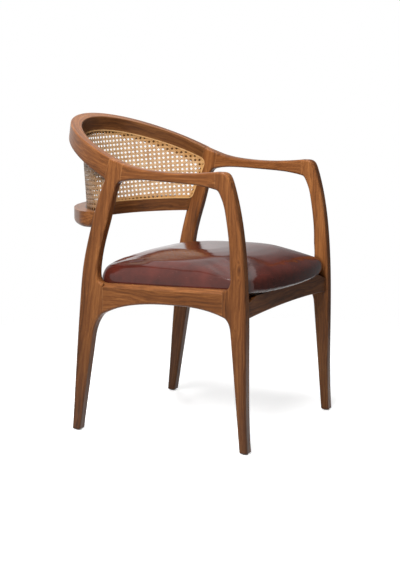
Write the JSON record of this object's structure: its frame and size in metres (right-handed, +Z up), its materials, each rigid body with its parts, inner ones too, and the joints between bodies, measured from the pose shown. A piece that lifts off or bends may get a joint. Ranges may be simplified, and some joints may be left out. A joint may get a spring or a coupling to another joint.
{
  "type": "armchair",
  "caption": "Open wooden armchair: tapered legs, slim arms that flow into a raised curved crest, a woven cane back panel and a padded leather seat.",
  "frame": {"origin": "on the floor, under the middle of the overall size", "axes": "+Z up, -Y the way the sitter faces, +X the sitter's left"},
  "size_m": [0.522, 0.6328, 0.8028],
  "materials": {
    "walnut": "satin oiled, straight open grain",
    "beech": "bare planed wood",
    "plywood": "bare plywood",
    "cane_panel": "woven natural cane",
    "cane_spline": "natural reed",
    "leather": "smooth glossy dark red-brown",
    "foam": "open-cell foam",
    "dust_cloth": "black non-woven cloth",
    "steel": "zinc plated",
    "glide": "matte, pale"
  },
  "bodies": {
    "root": {"arm_front_dowels": "beech", "arm_left": "walnut", "arm_rear_dowels": "beech", "arm_right": "walnut", "back_leg_left": "walnut", "back_leg_right": "walnut", "back_rail": "walnut", "back_rail_dowels": "beech", "cane_panel": "cane_panel", "cane_spline": "cane_spline", "corner_block_front_left": "beech", "corner_block_front_right": "beech", "corner_block_rear_left": "beech", "corner_block_rear_right": "beech", "corner_block_screws": "steel", "cover_staples": "steel", "crest_dowels": "beech", "crest_rail": "walnut", "dust_cover": "dust_cloth", "foot_glide_back_left": "glide", "foot_glide_back_right": "glide", "foot_glide_front_left": "glide", "foot_glide_front_right": "glide", "front_leg_left": "walnut", "front_leg_right": "walnut", "front_rail": "walnut", "front_rail_dowels": "beech", "lower_back_rail": "walnut", "lower_rail_dowels": "beech", "seat_board": "plywood", "seat_cover": "leather", "seat_foam": "foam", "seat_screws": "steel", "side_rail_front_dowels": "beech", "side_rail_left": "walnut", "side_rail_rear_dowels": "beech", "side_rail_right": "walnut"}
  },
  "joints": []
}
